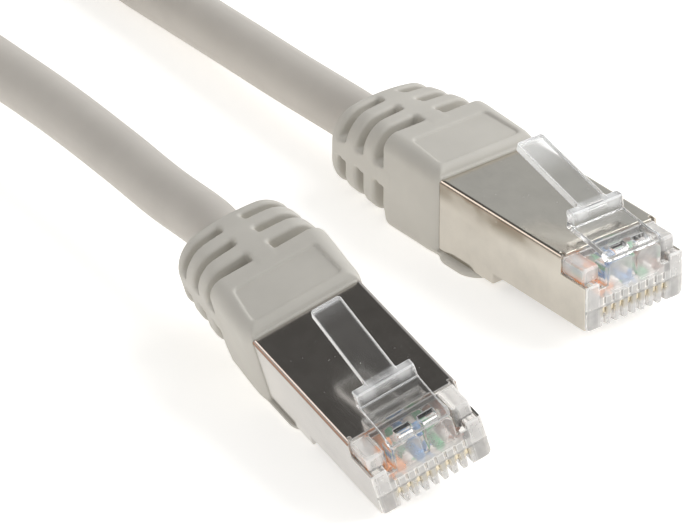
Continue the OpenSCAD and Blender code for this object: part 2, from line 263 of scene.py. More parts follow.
def clear(name, milk, rough, wave, warm=0.0):
    """Clear polycarbonate: refracting, with moulding haze, whiter where the frost attribute marks edges, and a painted
    reflection of the gold contacts mixed into its colour where marked; lamps shine through it.
    """
    m, nt, b, out = new_material(name)
    v = coords(nt)
    haze = noise(nt, v, 0.9, 4.0, 0.6)
    at = nt.nodes.new("ShaderNodeAttribute")
    at.attribute_name = "frost"
    frost = at.outputs["Fac"]
    tint = ramp(nt, haze, [(0.3, (0.93, 0.935 - 0.5 * warm, 0.935 - warm)), (0.7, (0.985, 0.985 - 0.5 * warm, 0.98 - warm))])
    # Painted reflection: gold mixed into the base colour where marked, standing in for the gold contacts seen through
    # the teeth.
    at = nt.nodes.new("ShaderNodeAttribute")
    at.attribute_name = "gilt"
    nt.links.new(mix_rgb(nt, at.outputs["Fac"], tint, (0.84, 0.735, 0.545)), b.inputs["Base Color"])
    nt.links.new(math_node(nt, "ADD", remap(nt, haze, *rough), math_node(nt, "MULTIPLY", frost, 0.30)), b.inputs["Roughness"])
    cloudy = math_node(nt, "ADD", remap(nt, haze, milk * 0.7, milk * 1.3), math_node(nt, "MULTIPLY", frost, 0.75))
    nt.links.new(math_node(nt, "SUBTRACT", 1.0, cloudy), b.inputs["Transmission Weight"])
    b.inputs["IOR"].default_value = 1.47
    bump(nt, b, noise(nt, v, 1.1, 2.0), wave, 0.00003)
    lp = nt.nodes.new("ShaderNodeLightPath")
    tr = nt.nodes.new("ShaderNodeBsdfTransparent")
    tr.inputs[0].default_value = (0.99, 0.99, 0.99, 1.0)
    mx = nt.nodes.new("ShaderNodeMixShader")
    nt.links.new(lp.outputs["Is Shadow Ray"], mx.inputs[0])
    nt.links.new(b.outputs[0], mx.inputs[1])
    nt.links.new(tr.outputs[0], mx.inputs[2])
    nt.links.new(mx.outputs[0], out.inputs[0])
    return m


def webbing(name, base):
    """Woven strap: two crossed bands of thread."""
    m, nt, b, _ = new_material(name)
    v = coords(nt)
    waves = []
    for axis in ("Y", "Z"):
        w = nt.nodes.new("ShaderNodeTexWave")
        w.bands_direction = axis
        w.inputs["Scale"].default_value = 0.9
        w.inputs["Distortion"].default_value = 0.4
        nt.links.new(v, w.inputs["Vector"])
        waves.append(w.outputs["Fac"])
    weave = math_node(nt, "MULTIPLY", *waves)
    n = noise(nt, v, 0.7, 3.0)
    nt.links.new(mix_rgb(nt, remap(nt, n, 0.0, 1.0), scaled(base, 0.8), scaled(base, 1.25)), b.inputs["Base Color"])
    nt.links.new(remap(nt, weave, 0.75, 0.92, 0.0, 1.0), b.inputs["Roughness"])
    bump(nt, b, weave, 0.6, 0.00015)
    return m


BOOT_GREY = (0.568, 0.545, 0.496)
JACKET_GREY = (0.548, 0.516, 0.472)
MAT = {
    "boot": vinyl("boot_vinyl", BOOT_GREY),
    "jacket": vinyl("jacket_vinyl", JACKET_GREY, 6.0, 0.000015, (0.50, 0.62)),
    # The ends' plates differ in tone as a painted reflection: end a is warmer, for the warm floor its sides mirror.
    # They also differ in copper and painted dark reflection.
    "nickel": nickel("nickel_plate", (0.615, 0.578, 0.515), 0.16, 1.0),
    "nickel_b": nickel("nickel_plate_b", (0.62, 0.60, 0.575), 0.95, 0.12),
    "gold": gold("gold_plate"),
    "clear": clear("clear_polycarbonate", 0.17, (0.05, 0.14), 0.3, 0.035),
    "clear_b": clear("clear_polycarbonate_b", 0.10, (0.04, 0.12), 0.3, 0.05),
    "lever": clear("clear_polycarbonate_lever", 0.010, (0.01, 0.03), 0.06),
    "foil": metal("bright_foil", (0.70, 0.71, 0.73), (0.86, 0.87, 0.89), 0.22),
    "tinned": metal("tinned_wire", (0.62, 0.62, 0.61), (0.80, 0.80, 0.79), 0.30),
    "copper": metal("copper_strands", (0.70, 0.33, 0.18), (0.90, 0.52, 0.34), 0.30),
    "strap": webbing("strap_webbing", (0.16, 0.16, 0.165)),
}
PALE = (0.88, 0.81, 0.78)
HUES = {"orange": (0.93, 0.33, 0.08), "green": (0.06, 0.42, 0.17), "blue": (0.07, 0.27, 0.62), "brown": (0.34, 0.15, 0.09)}
WIRES = ["white_orange", "orange", "white_green", "blue", "white_blue", "green", "white_brown", "brown"]
for w in WIRES:
    hue = HUES[w.split("_")[-1]]
    MAT[w] = insulation("insulation_" + w, PALE, hue, (0.30, 0.44) if w == "white_orange" else (0.60, 0.72)) if w.startswith("white") else insulation("insulation_" + w, hue)


# ---------------------------------------------------------------- the cord, from boot to boot through its stored coil
COIL_C = np.array([-112.0, 7.7])
R_OUT, R_IN, LAY = 30.9, 25.5, 5.4
COIL_LIFT = 0.6
A_TAIL = A_POS + np.array([BOOT_TAIL, 0, CABLE_Z])
B_TAIL = laid(PLACE_B, (BOOT_TAIL, 0, CABLE_Z))


def ease(t):
    t = min(1.0, max(0.0, t))
    return t * t * (3 - 2 * t)


def coil_point(deg):
    """Where the cable's axis is after winding round to this angle: outer turn, then three inner turns up, then back out and down."""
    s1 = ease((deg - 330.0) / 70.0)
    r = R_OUT + (R_IN - R_OUT) * s1
    z = 2.7
    z += LAY * ease((deg - 620.0) / 80.0)
    z += LAY * ease((deg - 980.0) / 80.0)
    if deg > 1340.0:
        a = ease((deg - 1340.0) / 80.0) * math.pi / 2
        low = 2.7 + LAY + LAY * ease((deg - 1340.0) / 80.0)
        r = R_IN + LAY * math.sin(a)
        z = low + LAY * math.cos(a)
    if deg > 1420.0:
        z = 2.7 + LAY + LAY * (1 - ease((deg - 1420.0) / 80.0))
    gap = (deg % 360.0) - 180.0
    z += COIL_LIFT * math.exp(-((gap / 26.0) ** 2))
    a = math.radians(deg)
    return [COIL_C[0] + r * math.cos(a), COIL_C[1] + r * math.sin(a), z]


def tail_in(tail, place, depth):
    """A point inside the boot, on the cable's axis."""
    return tail + (np.array(place.to_3x3() @ Vector((1, 0, 0))) * depth)


route = [list(tail_in(A_TAIL, PLACE_A, 1.2)), list(A_TAIL), list(A_TAIL - np.array([5, 0, 0])), [-40, 17.4, 3.8], [-48, 17.8, 3.5], [-54, 18.15, 3.2], [-60, 18.5, 2.9],
         [-67, 18.8, 2.7], [-73.3, 19.5, 2.7], [-79.3, 21.4, 2.7], [-84.7, 24.5, 2.7]]
TURN_A, TURN_B = 42.4, 4 * 360.0 + 313.1
steps = int((TURN_B - TURN_A) / 12.0)
route += [coil_point(TURN_A + (TURN_B - TURN_A) * k / steps) for k in range(steps + 1)]
route += [[-86.9, -11.7, 8.1], [-81.8, -9.1, 8.0], [-76.2, -7.4, 7.8], [-70.5, -6.9, 7.5], [-63, -6.9, 7.1], [-54.4, -6.9, 6.9], [-44.4, -7.1, 6.8], [-33.7, -8.0, 6.85], [-25.2, -9.1, 6.95],
          list(tail_in(B_TAIL, PLACE_B, -4.0)), list(B_TAIL), list(tail_in(B_TAIL, PLACE_B, 1.2))]
B_LEAN = np.array(PLACE_B.to_3x3() @ Vector((0, 1, 0))) * 0.3
for k, share in ((-1, 1.0), (-2, 1.0), (-3, 0.75), (-4, 0.3)):
    route[k] = list(np.array(route[k]) + B_LEAN * share)
crv = bpy.data.curves.new("cable", "CURVE")
crv.dimensions = "3D"
crv.bevel_depth = CABLE_R * MM
crv.bevel_resolution = 7
crv.resolution_u = 8
crv.use_fill_caps = True
sp = crv.splines.new("BEZIER")
sp.bezier_points.add(len(route) - 1)
P = np.array(route) * MM
for k, bp in enumerate(sp.bezier_points):
    a, c = P[max(k - 1, 0)], P[min(k + 1, len(P) - 1)]
    t = (c - a) / max(1e-9, np.linalg.norm(c - a))
    bp.co = P[k]
    bp.handle_left_type = bp.handle_right_type = "FREE"
    bp.handle_left = P[k] - t * np.linalg.norm(P[k] - a) / 3.0
    bp.handle_right = P[k] + t * np.linalg.norm(c - P[k]) / 3.0
crv.materials.append(MAT["jacket"])
cable = bpy.data.objects.new("cable", crv)
scene.collection.objects.link(cable)
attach(cable, ROOT)
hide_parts("cable_lead_a", "cable_lead_b", "cable_coil")


# ---------------------------------------------------------------- solids from distance functions, in plug millimetres
def rmax(a, b, r):
    """Intersection whose edge is rounded to radius r."""
    if np.ndim(r) == 0 and r <= 0:
        return np.maximum(a, b)
    u, v = np.maximum(r + a, 0), np.maximum(r + b, 0)
    return np.minimum(-r, np.maximum(a, b)) + np.sqrt(u * u + v * v)


def rmin(a, b, r):
    """Union whose inner corner is filled to radius r."""
    if np.ndim(r) == 0 and r <= 0:
        return np.minimum(a, b)
    u, v = np.maximum(r - a, 0), np.maximum(r - b, 0)
    return np.maximum(r, np.minimum(a, b)) - np.sqrt(u * u + v * v)


def cut(a, b, r=0.0):
    return rmax(a, -b, r)


def rect(u, v, hu, hv, r):
    """Rounded rectangle about the origin of two coordinates."""
    qu, qv = np.abs(u) - (hu - r), np.abs(v) - (hv - r)
    return np.sqrt(np.maximum(qu, 0) ** 2 + np.maximum(qv, 0) ** 2) + np.minimum(np.maximum(qu, qv), 0) - r


def box3(x, y, z, x0, x1, y0, y1, z0, z1, r=0.0):
    qx = np.abs(x - (x0 + x1) / 2) - ((x1 - x0) / 2 - r)
    qy = np.abs(y - (y0 + y1) / 2) - ((y1 - y0) / 2 - r)
    qz = np.abs(z - (z0 + z1) / 2) - ((z1 - z0) / 2 - r)
    out = np.sqrt(np.maximum(qx, 0) ** 2 + np.maximum(qy, 0) ** 2 + np.maximum(qz, 0) ** 2)
    return out + np.minimum(np.maximum(qx, np.maximum(qy, qz)), 0) - r


def beam(x, z, p, q, half):
    """Coordinates along and across the line between two points of the side view, and the line's length; half is not
    used.
    """
    px, pz = p
    l = math.hypot(q[0] - px, q[1] - pz)
    cx, cz = (q[0] - px) / l, (q[1] - pz) / l
    a = (x - px) * cx + (z - pz) * cz
    b = -(x - px) * cz + (z - pz) * cx
    return a, b, l


def spread(*parts):
    """Grid lines from (start, end, step) stretches."""
    lines = []
    for lo, hi, step in parts:
        n = max(1, int(round((hi - lo) / step)))
        lines.extend(np.linspace(lo, hi, n + 1)[:-1])
    lines.append(parts[-1][1])
    return np.array(lines)


def skin(f, xs, ys, zs, pulls=4):
    """Closed quad skin of f = 0 on a grid, each point pulled onto the surface."""
    X, Y, Z = np.meshgrid(xs, ys, zs, indexing="ij")
    V = f(X, Y, Z)
    inside = V < 0
    n = [len(xs) - 1, len(ys) - 1, len(zs) - 1]
    corner = lambda A, i, j, k: A[i:n[0] + i, j:n[1] + j, k:n[2] + k]
    count = sum(corner(inside, i, j, k).astype(np.int8) for i in (0, 1) for j in (0, 1) for k in (0, 1))
    live = (count > 0) & (count < 8)
    I, J, K = np.nonzero(live)
    ident = np.full(live.shape, -1, np.int64)
    ident[I, J, K] = np.arange(len(I))
    total, hits = np.zeros((len(I), 3)), np.zeros(len(I))
    ends = [((0, 0, 0), (1, 0, 0)), ((0, 1, 0), (1, 1, 0)), ((0, 0, 1), (1, 0, 1)), ((0, 1, 1), (1, 1, 1)),
            ((0, 0, 0), (0, 1, 0)), ((1, 0, 0), (1, 1, 0)), ((0, 0, 1), (0, 1, 1)), ((1, 0, 1), (1, 1, 1)),
            ((0, 0, 0), (0, 0, 1)), ((1, 0, 0), (1, 0, 1)), ((0, 1, 0), (0, 1, 1)), ((1, 1, 0), (1, 1, 1))]
    for p, q in ends:
        va, vb = V[I + p[0], J + p[1], K + p[2]], V[I + q[0], J + q[1], K + q[2]]
        on = (va < 0) != (vb < 0)
        t = np.where(on, va / np.where(on, va - vb, 1.0), 0.0)
        pa = np.stack([xs[I + p[0]], ys[J + p[1]], zs[K + p[2]]], 1)
        pb = np.stack([xs[I + q[0]], ys[J + q[1]], zs[K + q[2]]], 1)
        total += np.where(on[:, None], pa + (pb - pa) * t[:, None], 0.0)
        hits += on
    pts = total / hits[:, None]
    reach = np.stack([np.diff(xs)[I], np.diff(ys)[J], np.diff(zs)[K]], 1)
    home = pts.copy()
    e = 0.004
    for _ in range(pulls):
        d = f(pts[:, 0], pts[:, 1], pts[:, 2])
        g = np.stack([f(pts[:, 0] + (e if a == 0 else 0), pts[:, 1] + (e if a == 1 else 0), pts[:, 2] + (e if a == 2 else 0))
                      - f(pts[:, 0] - (e if a == 0 else 0), pts[:, 1] - (e if a == 1 else 0), pts[:, 2] - (e if a == 2 else 0))
                      for a in range(3)], 1) / (2 * e)
        g2 = np.maximum((g * g).sum(1), 0.2)
        pts = pts - g * (d / g2)[:, None]
        pts = np.clip(pts, home - 0.75 * reach, home + 0.75 * reach)
    quads = []
    a = inside[:-1, 1:-1, 1:-1] != inside[1:, 1:-1, 1:-1]
    i, j, k = np.nonzero(a)
    j, k = j + 1, k + 1
    q = np.stack([ident[i, j - 1, k - 1], ident[i, j, k - 1], ident[i, j, k], ident[i, j - 1, k]], 1)
    quads.append(np.where(inside[i, j, k][:, None], q, q[:, ::-1]))
    a = inside[1:-1, :-1, 1:-1] != inside[1:-1, 1:, 1:-1]
    i, j, k = np.nonzero(a)
    i, k = i + 1, k + 1
    q = np.stack([ident[i - 1, j, k - 1], ident[i - 1, j, k], ident[i, j, k], ident[i, j, k - 1]], 1)
    quads.append(np.where(inside[i, j, k][:, None], q, q[:, ::-1]))
    a = inside[1:-1, 1:-1, :-1] != inside[1:-1, 1:-1, 1:]
    i, j, k = np.nonzero(a)
    i, j = i + 1, j + 1
    q = np.stack([ident[i - 1, j - 1, k], ident[i, j - 1, k], ident[i, j, k], ident[i - 1, j, k]], 1)
    quads.append(np.where(inside[i, j, k][:, None], q, q[:, ::-1]))
    return pts, np.concatenate(quads)


def make_mesh(name, pts, faces, smooth=True, **marks):
    me = bpy.data.meshes.new(name)
    me.from_pydata((np.asarray(pts) * MM).tolist(), [], [list(map(int, q)) for q in faces])
    for key, values in marks.items():
        at = me.attributes.new(key, "FLOAT", "POINT")
        at.data.foreach_set("value", np.asarray(values, dtype=np.float32))
    me.polygons.foreach_set("use_smooth", [smooth] * len(me.polygons))
    me.update()
    return me


# Boot: block with a recessed panel and rolled front, tray under the shield, then an arched relief with four slots in each of three rings
SLOTS = [(-29.4, -31.06), (-32.8, -33.96), (-35.65, -36.81)]  # front and back of each ring of slots


def boot_back(x):
    """Height of the boot's back: it rises over the block and falls along the relief."""
    d = -28.6 - x
    return np.where(d < 0, 7.97 + 0.05 * d, 7.97 - 0.012 * d - 0.0085 * d * d)


def upright(ay, z, top, low, half, crown, foot, arch):
    """Outline across the boot, with its own corner radii above and below."""
    up = z > (top + low) / 2
    r = np.where(up, crown, foot)
    qy, qz = ay - (half - r), np.where(up, z + arch - top, low - z) + r
    return np.sqrt(np.maximum(qy, 0) ** 2 + np.maximum(qz, 0) ** 2) + np.minimum(np.maximum(qy, qz), 0) - r


def boot_shape(x, y, z):
    ay = np.abs(y)
    t = np.clip((-29.0 - x) / 10.0, 0, 1)
    top, low = boot_back(x), -1.68 + 0.5 * t
    near = np.clip((x + 23.4) / 1.7, 0, 1)
    block = upright(ay, z, top, low, 6.3 - 0.40 * near * near, 1.7, 0.7, 0.0)
    block = rmax(rmax(block, -29.85 - x, 0.42 + 0.6 * np.clip((0.4 - z) / 1.6, 0, 1)), x + 21.7, 0.06)
    relief = upright(ay, z, top, low, 6.33 - 0.3 * t, 2.2 + 0.6 * t, 2.2 + 0.6 * t, (0.006 + 0.022 * t) * y * y)
    relief = rmax(relief, np.abs(x + 33.6) - 5.4, 1.9)
    core = rect(y, z - 3.0, 4.3, 3.05, 2.0)
    for xf, xb in SLOTS:
        back = xb - 0.12 * np.clip(core, 0, 2) - x
        slot = rmax(rmax(x - xf, back, 0.25), -core, 0.4)
        slot = rmax(slot, 1.12 - ay, 0.34)
        high = rmax(slot, 4.4 - z, 0.3)
        deep = rmax(slot, z - 2.45, 0.2)
        edge = 0.10 + 0.30 * np.clip((xb + 0.76 - x) / 0.5, 0, 1)
        relief = cut(relief, np.minimum(high, deep), edge)
    body = rmin(block, relief, 0.2)
    web = np.minimum(ay - 1.05, np.maximum(z - 4.35, 2.5 - z))
    flush = upright(ay, z, top, low, 6.3 - 0.27 * t, 2.0 + 0.6 * t, 2.2 + 0.6 * t, 0.004 * y * y)
    body = rmin(body, rmax(np.maximum(flush, np.abs(x + 29.6) - 0.85), web, 0.3), 0.15)
    panel = rmax(rect(x + 25.17, y / (1 + 0.015 * (x + 25.17)), 2.32, 4.55, 0.4), top - 0.20 - z, 0.0)
    body = cut(body, panel, 0.34)
    fall = np.clip((x + 22.95) / 1.12, 0, 1)
    roll = (z - 6.72 - (top - 6.72) * np.sqrt(1 - 0.999 * fall * fall)) * 0.72
    body = rmax(body, np.where(x > -23.2, roll, -5.0), 0.08)
    lip = np.maximum(rmax(rect(y, z - 2.75, 5.6, 4.04, 0.5), np.abs(x + 21.84) - 0.27, 0.06), 6.2 - z)
    body = np.minimum(body, lip)
    tray = rmax(rmax(rect(x + 20.85, y, 5.15, 6.12, 2.3), z + 1.05, 0.1), -1.68 - z, 0.5)
    body = rmin(body, tray, 0.15)
    body = cut(body, box3(x, y, z, -23.0, -13.0, -5.5, 5.5, -0.78, 6.26, 0.1), 0.0)
    bore = rmax(np.sqrt(y * y + (z - CABLE_Z) ** 2) - CABLE_R - 0.01, x + 36.8, 0.0)
    return np.maximum(cut(body, bore, 0.2), -1.69 - z)


def boot_a_shape(x, y, z):
    """End a's boot, whose tray swells out beyond the shield on both sides."""
    swell = rmax(rmax(rect(x + 19.0, y, 3.5, 6.52, 2.6), z + 0.92, 0.5), -1.68 - z, 0.12)
    return np.maximum(rmin(boot_shape(x, y, z), swell, 0.12), -1.69 - z)


# Shield: folded sheet with stepped sides, deeper behind the step, relief notches at the front corners
def shield_shape(x, y, z):
    bend = np.where(z > 2.75, 0.42, 0.12)
    qy, qz = np.abs(y) - (5.84 - bend), np.abs(z - 2.75) - (3.83 - bend)
    tube = np.sqrt(np.maximum(qy, 0) ** 2 + np.maximum(qz, 0) ** 2) + np.minimum(np.maximum(qy, qz), 0) - bend
    sheet = np.maximum(tube, -(rect(y, z - 2.75, 5.54, 3.53, 0.12)))
    keep_rear = x + 13.7
    keep_mid = np.maximum(x + 3.83, 0.04 - z)
    keep_wing = np.maximum(np.maximum(x + 0.28, z - 4.64), 0.04 - z)
    keep = np.minimum(np.minimum(keep_rear, keep_mid), keep_wing)
    keep = np.maximum(keep, -24.0 - x)
    can = rmax(sheet, keep, 0.07)
    riser = rmax(np.maximum(tube, z - 0.04), np.abs(x + 13.85) - 0.15, 0.05)
    can = np.minimum(can, riser)
    notch = box3(x, np.abs(y), z, -4.35, -3.0, 5.2, 5.5, 6.0, 7.0, 0.08)
    return cut(can, notch, 0.04)


# Housing: clear body, ears, posts, comb, and the two legs below the latch's root
def housing_shape(x, y, z):
    ay = np.abs(y)
    body = box3(x, y, z, -14.2, -3.7, -5.5, 5.5, 0.06, 6.24, 0.12)
    body = np.minimum(body, box3(x, y, z, -21.0, -14.05, -5.5, 5.5, -0.74, 6.24, 0.12))
    nose = box3(x, y, z, -4.2, -0.2, -5.5, 5.5, 0.0, 4.0, 0.1)
    post = box3(x, ay, z, -1.2, 0.0, 4.2, 5.5, 0.0, 4.72, 0.16)
    flange = rmax(rect(y, z - 2.05, 5.84, 2.05, 0.6), np.abs(x + 0.13) - 0.13, 0.08)
    corner = box3(x, ay, z, -0.26, 0.0, 4.3, 5.84, 0.7, 4.72, 0.12)
    ears = box3(x, ay, z, -4.1, -0.85, 3.62, 5.5, 3.0, 6.2, 0.26)
    mid = box3(x, y, z, -4.1, -1.5, -3.7, 3.7, 3.0, 5.55, 0.1)
    front = box3(x, y, z, -2.0, -0.3, -3.3, 3.3, 3.0, 6.1, 0.14)
    legs = rmax(rect(ay - 1.72, z - 5.0, 1.42, 1.6, 0.75), np.abs(x + 0.42) - 0.42, 0.1)
    s = np.minimum(body, rmin(nose, mid, 0.15))
    s = rmin(s, ears, 0.12)
    s = np.minimum(s, np.minimum(flange, corner))
    s = rmin(s, post, 0.08)
    s = rmin(rmin(s, front, 0.1), legs, 0.1)
    s = cut(s, box3(x, y, z, -22.0, -14.0, -4.3, 4.3, -0.35, 5.4, 0.3), 0.0)
    s = cut(s, box3(x, y, z, -14.6, -5.3, -4.2, 4.2, 0.6, 4.6, 0.3), 0.0)
    k = np.clip(np.round(y / PITCH_Y - 0.5), -4, 3)
    v = np.abs(y - (k + 0.5) * PITCH_Y)
    slot = np.maximum(v - 0.16 - 0.05 * np.clip((1.2 - z) / 1.2, 0, 1), z - 1.95)
    slot = np.maximum(np.maximum(slot, -6.6 - x), -np.maximum(x + 0.42, 1.05 - z))
    s = cut(s, slot, 0.18)
    s = cut(s, np.maximum(np.maximum(v - 0.19, np.abs(z - 2.49) - 0.49), np.abs(x + 3.48) - 3.12), 0.0)
    groove = np.maximum(np.maximum(v - 0.14, np.abs(z - 2.74) - 0.36), -0.14 - x)
    s = cut(s, groove, 0.04)
    line = np.maximum(np.abs(z - 2.12) - 0.03, np.maximum(-0.05 - x, ay - 5.0))
    s = cut(s, line, 0.0)
    s = np.maximum(s, np.where(x > -0.32, rect(y, z - 3.5, 5.84, 3.5, 0.6), -5.0))
    seat = np.sqrt((x + 0.5) ** 2 + (z - 6.9) ** 2) - 0.5
    return cut(s, np.maximum(seat, ay - 3.4), 0.0)


# Latch: root bar with two windows, spring plate, shoulder bar and tapering lever
def latch_shape(x, y, z):
    ay = np.abs(y)
    root = rmax(np.sqrt((x + 0.5) ** 2 + (z - 6.9) ** 2) - 0.45, ay - 3.2, 0.1)
    a, b, l = beam(x, z, (-0.5, 7.02), (-6.3, 7.72), 0.3)
    plate = rmax(rmax(np.abs(b) - 0.29, np.maximum(-a, a - l), 0.05), ay - 3.1 - 0.1 * np.clip((x + 2.0) / 1.5, 0, 1), 0.07)
    bar = rmax(rmax(np.abs(x + 5.85 + 0.12 * (z - 8.4)) - 0.5, np.abs(z - 8.36) - 0.94, 0.16), ay - 3.1, 0.16)
    a, b, l = beam(x, z, (-5.7, 8.78), (-15.75, 11.47), 0.4)
    wide = 1.625 - 0.05 * np.clip(a / l, 0, 1)
    lever = rmax(rmax(np.abs(b) - 0.4, np.maximum(-a, a - l), 0.16), rmax(ay - wide, ay + a - l - wide + 0.25, 0.1), 0.10)
    s = rmin(root, plate, 0.2)
    s = rmin(s, bar, 0.12)
    s = rmin(s, lever, 0.15)
    pocket = np.maximum(rect(x + 0.87, ay - 1.3, 0.48, 0.8, 0.08), 6.86 - z)
    return cut(s, pocket, 0.03)


def edge_white(f, pts, h, gain):
    """How sharply the surface bends outward at each point, 0 on flats to 1 on edges."""
    x, y, z = pts.T
    bend = (f(x + h, y, z) + f(x - h, y, z) + f(x, y + h, z) + f(x, y - h, z) + f(x, y, z + h) + f(x, y, z - h) - 6 * f(x, y, z)) / (h * h)
    return np.clip(bend * gain, 0, 1)


def step_up(v, a, b):
    t = np.clip((v - a) / (b - a), 0, 1)
    return t * t * (3 - 2 * t)


boot_grid = (spread((-39.5, -28.6, 0.16), (-28.6, -26.6, 0.13), (-26.6, -23.6, 0.3), (-23.6, -20.9, 0.10), (-20.9, -15.1, 0.2)),
             spread((-6.9, -5.4, 0.1), (-5.4, 5.4, 0.16), (5.4, 6.9, 0.1)), spread((-2.0, -0.9, 0.1), (-0.9, 6.9, 0.16), (6.9, 8.2, 0.08)))
boot_pts, boot_quads = skin(boot_a_shape, *boot_grid)
boot_b_pts, boot_b_quads = skin(boot_shape, *boot_grid)
shield_pts, shield_quads = skin(shield_shape, spread((-24.3, -23.6, 0.1), (-23.6, -14.3, 0.5), (-14.3, -13.4, 0.06), (-13.4, -4.6, 0.5), (-4.6, -3.5, 0.06), (-3.5, -0.7, 0.4), (-0.7, 0.0, 0.06)),
                                spread((-6.05, -5.0, 0.055), (-5.0, 5.0, 0.5), (5.0, 6.05, 0.055)),
                                spread((-1.3, -0.4, 0.055), (-0.4, 0.4, 0.07), (0.4, 4.3, 0.4), (4.3, 4.9, 0.055), (4.9, 5.9, 0.25), (5.9, 6.8, 0.05)))
house_pts, house_quads = skin(housing_shape, spread((-21.3, -14.6, 0.8), (-14.6, -13.4, 0.2), (-13.4, -6.8, 0.6), (-6.8, -6.3, 0.1), (-6.3, -4.4, 0.4), (-4.4, -3.4, 0.1), (-3.4, -2.2, 0.2), (-2.2, -1.4, 0.1), (-1.4, 0.16, 0.078)),
                              spread((-6.05, -4.08, 0.1), (-4.08, 4.08, PITCH_Y / 14), (4.08, 6.05, 0.1)),
                              spread((-1.0, -0.1, 0.2), (-0.1, 0.5, 0.06), (0.5, 2.0, 0.1), (2.0, 2.24, 0.04), (2.24, 6.9, 0.1)))
latch_pts, latch_quads = skin(latch_shape, spread((-16.3, -14.8, 0.08), (-14.8, -6.8, 0.2), (-6.8, 0.2, 0.08)),
                              spread((-3.35, -1.2, 0.08), (-1.2, 1.2, 0.16), (1.2, 3.35, 0.08)), spread((6.1, 12.2, 0.08)))
hx, hy, hz = house_pts.T
lx, ly, lz = latch_pts.T
sx, sy, sz = shield_pts.T
quiet = step_up(-np.abs(hz - 2.12), -0.2, -0.1) * step_up(hx, -0.2, -0.1)
legs = step_up(hx, -1.1, -0.9) * step_up(hz, 3.7, 3.9) * step_up(-np.abs(hy), -3.6, -3.4)
teeth = step_up(-hz, -2.1, -1.9) * step_up(-np.abs(hy), -4.3, -4.1) * step_up(hx, -1.4, -1.1)
house_frost = 0.55 * edge_white(housing_shape, house_pts, 0.04, 0.10) * (1 - quiet) * (1 - 0.85 * legs) * (1 - 0.75 * teeth)
middle = step_up(-np.abs(hy), -3.7, -3.5) * step_up(hz, 2.9, 3.1)
house_frost += middle * (0.16 * step_up(hx, -4.3, -4.1) + 0.20 * step_up(hx, -0.5, -0.2))
house_frost += 0.52 * step_up(np.abs(hy), 3.6, 4.4) * step_up(hz, 4.75, 4.9) * step_up(-hx, 0.6, 0.8)
house_frost += 0.26 * step_up(hx, -0.35, -0.15) * (1 - legs) + 0.12 * step_up(np.abs(hy), 4.1, 4.3) * step_up(hx, -1.4, -1.2)
house_frost += 0.28 * step_up(hx, -0.2, -0.05) * step_up(hz, 2.15, 2.25) * step_up(-hz, -3.25, -3.0) * step_up(-np.abs(hy), -4.4, -4.2)
house_frost += teeth * (0.34 - 0.06 * step_up(hz, 1.0, 1.4))
beside = np.abs(hy - (np.clip(np.round(hy / PITCH_Y - 0.5), -4, 3) + 0.5) * PITCH_Y)
# Painted reflection mask: pale gold on the upper part of the teeth, strongest next to the slots, for the contacts seen
# through them.
gilt = 0.75 * teeth * step_up(hz, 0.95, 1.35) * (1 - 0.55 * step_up(beside, 0.22, 0.48)) * step_up(-hz, -2.08, -2.0)
house_frost += 0.22 * step_up(hx, -0.3, -0.1) * step_up(np.abs(hy), 4.2, 4.4) * step_up(hz, 2.1, 2.3)
window = step_up(-np.abs(hy), -4.2, -3.6) * step_up(hz, 3.1, 3.4)
latch_frost = 0.8 * edge_white(latch_shape, latch_pts, 0.04, 0.10) * (1 - 0.75 * step_up(lx, -0.5, -0.4))
latch_frost += 0.4 * step_up(np.abs(ly), 3.0, 3.06) * step_up(-lx, 0.8, 1.2) * step_up(lx, -5.4, -5.0)
latch_frost += 0.5 * step_up(-lx, 15.35, 15.75)
latch_frost += 0.9 * step_up(np.abs(ly), 1.50, 1.56) * step_up(-lx, 6.6, 7.0)
glint = 0.34 + 0.40 * step_up(np.abs(ly), 0.8, 1.7) * step_up(-np.abs(ly), -2.9, -2.3)
latch_frost += glint * step_up(-lx, 5.2, 5.5) * step_up(lx, -6.7, -6.4) * step_up(lz, 8.0, 8.3)
latch_frost += 0.8 * step_up(-lz, -6.97, -6.9) * step_up(-np.abs(np.abs(ly) - 1.3), -0.75, -0.7) * step_up(-np.abs(lx + 0.60), -0.20, -0.16)
fold = (0.15 + 0.85 * step_up(np.abs(sy), 5.70, 5.76)) * step_up(np.abs(sy), 5.42, 5.5) * step_up(sz, 6.06, 6.16)
# Painted dark reflection mask: below the folds and towards the rear of the sides, where the nickel material darkens the
# sheet.
under_fold = step_up(np.abs(sy), 5.75, 5.82) * (step_up(sz, 4.1, 6.1) * (0.30 + 0.62 * step_up(-sx, 4.0, 10.5)) + 0.25 * step_up(sz, 1.5, 5.5) * step_up(-sx, 9.0, 16.0))
boot_b_pts[:, 1] += 0.3 * step_up(-boot_b_pts[:, 0], 23.0, 30.0)  # end b's relief leans a little with its cable
MESHES = {
    "boot": make_mesh("boot", boot_pts, boot_quads),
    "boot_b": make_mesh("boot_b", boot_b_pts, boot_b_quads),
    "shield": make_mesh("shield", shield_pts, shield_quads, fold=fold, under_fold=under_fold),
    "housing": make_mesh("housing", house_pts, house_quads, frost=np.clip(0.82 * house_frost, 0, 1), gilt=gilt),
    "housing_b": make_mesh("housing_b", house_pts, house_quads, frost=np.clip(house_frost * (1 - 0.35 * window) + 0.03 * (1 - window), 0, 1), gilt=gilt),
    "latch": make_mesh("latch", latch_pts, latch_quads, frost=np.clip(latch_frost + 0.34 * step_up(-lx, 10.5, 15.8), 0, 1)),
    "latch_b": make_mesh("latch_b", latch_pts, latch_quads, frost=np.clip(latch_frost + 0.05 * step_up(-lx, 13.5, 15.6), 0, 1)),
}


